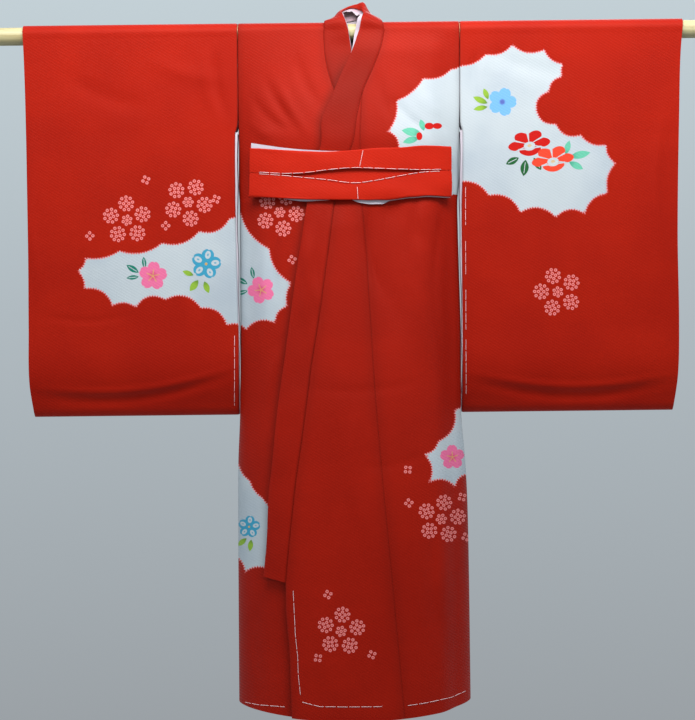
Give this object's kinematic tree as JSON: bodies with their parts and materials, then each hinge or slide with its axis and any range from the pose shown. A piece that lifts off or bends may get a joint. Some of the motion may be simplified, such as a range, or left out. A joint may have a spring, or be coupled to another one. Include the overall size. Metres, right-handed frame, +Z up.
{
  "type": "baby ceremonial kimono on a display pole",
  "caption": "Red silk baby kimono hung flat on a round wooden pole, wide open sleeves, crossed fronts, folded waist band, white cloud and flower pattern.",
  "frame": {"origin": "middle of the pole's axis, under the neck", "axes": "+X along the pole towards the wearer's left sleeve, -Y out of the garment's front, +Z up"},
  "size_m": [1.2, 0.1378, 1.0581],
  "materials": {
    "red_silk": "soft silk sheen, figured crepe",
    "white_lining": "plain silk",
    "pale_wood": "satin"
  },
  "bodies": {
    "root": {"front_left": "red_silk", "front_right": "red_silk", "okumi_left": "red_silk", "okumi_right": "red_silk", "back": "red_silk", "collar": "red_silk", "collar_lining": "white_lining", "sleeve_right": "red_silk", "sleeve_lining_right": "white_lining", "sleeve_left": "red_silk", "sleeve_lining_left": "white_lining", "waist_band": "red_silk", "waist_band_lining": "white_lining", "pole": "pale_wood"}
  },
  "joints": []
}
